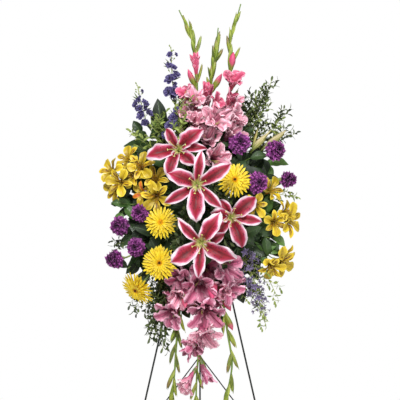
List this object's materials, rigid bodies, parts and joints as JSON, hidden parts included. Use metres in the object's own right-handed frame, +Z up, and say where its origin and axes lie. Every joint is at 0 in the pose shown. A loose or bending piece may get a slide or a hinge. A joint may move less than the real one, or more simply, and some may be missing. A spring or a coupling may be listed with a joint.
{
  "type": "standing funeral spray",
  "caption": "Standing spray of lilies, gladioli, gerberas, carnations and greenery in a wet foam block, hung by its cage on a folding three-legged wire easel.",
  "frame": {"origin": "on the floor, at the middle of the bounding box seen from above", "axes": "+Z up, -Y towards the viewer whom the flowers face, +X to that viewer's right"},
  "size_m": [0.5856, 0.7338, 1.7465],
  "materials": {
    "wire": "dark green-black enamel on steel wire",
    "cage": "moulded green plastic",
    "foam": "wet open-cell floral foam",
    "lily": "soft petal, crimson in the middle and white at the edge",
    "green": "smooth green stem",
    "gladiolus": "soft pink petal on a green spike",
    "gerbera": "satin yellow ray petal",
    "carnation": "matt ruffled purple petal",
    "alstroemeria": "soft yellow petal with dark streaks",
    "larkspur": "matt violet petal",
    "leaf": "leathery dark leaf",
    "small_leaf": "small matt leaf"
  },
  "bodies": {
    "stand": {"alstroemeria_1": "alstroemeria", "alstroemeria_2": "alstroemeria", "alstroemeria_3": "alstroemeria", "alstroemeria_4": "alstroemeria", "alstroemeria_5": "alstroemeria", "alstroemeria_6": "alstroemeria", "boxwood_1": "small_leaf", "boxwood_2": "small_leaf", "boxwood_3": "small_leaf", "boxwood_4": "small_leaf", "boxwood_5": "small_leaf", "boxwood_6": "small_leaf", "broad_leaves_1": "leaf", "broad_leaves_2": "leaf", "broad_leaves_3": "leaf", "broad_leaves_4": "leaf", "broad_leaves_5": "leaf", "broad_leaves_6": "leaf", "carnation_1": "carnation", "carnation_2": "carnation", "carnation_3": "carnation", "carnation_4": "carnation", "carnation_5": "carnation", "carnation_6": "carnation", "carnation_7": "carnation", "carnation_8": "carnation", "easel_head": "wire", "foam_block": "foam", "foam_cage": "cage", "front_leg_left": "wire", "front_leg_right": "wire", "gerbera_1_head": "gerbera", "gerbera_1_stem": "green", "gerbera_2_head": "gerbera", "gerbera_2_stem": "green", "gerbera_3_head": "gerbera", "gerbera_3_stem": "green", "gerbera_4_head": "gerbera", "gerbera_4_stem": "green", "gladiolus_1": "gladiolus", "gladiolus_2": "gladiolus", "gladiolus_3": "gladiolus", "gladiolus_4": "gladiolus", "gladiolus_5": "gladiolus", "gladiolus_6": "gladiolus", "larkspur_1": "larkspur", "larkspur_2": "larkspur", "larkspur_3": "larkspur", "larkspur_4": "larkspur", "lily_1_petals": "lily", "lily_1_stem": "green", "lily_2_petals": "lily", "lily_2_stem": "green", "lily_3_petals": "lily", "lily_3_stem": "green", "lily_4_petals": "lily", "lily_4_stem": "green", "lily_buds": "green"},
    "rear_leg": {"rear_leg": "wire"},
    "brace": {"leg_brace": "wire"}
  },
  "joints": [
    {"name": "rear_leg_fold", "type": "hinge", "parent": "stand", "child": "rear_leg", "pos_m": [0, -0.03589, 1.215], "axis": [1, 0, 0], "range_deg": [-20, 0]},
    {"name": "brace_fold", "type": "hinge", "parent": "rear_leg", "child": "brace", "pos_m": [0, 0.15341, 0.64], "axis": [1, 0, 0], "range_deg": [0, 60]}
  ],
  "couplings": [
    {"joint": "brace_fold", "follows": "rear_leg_fold", "ratio": -2.9}
  ]
}
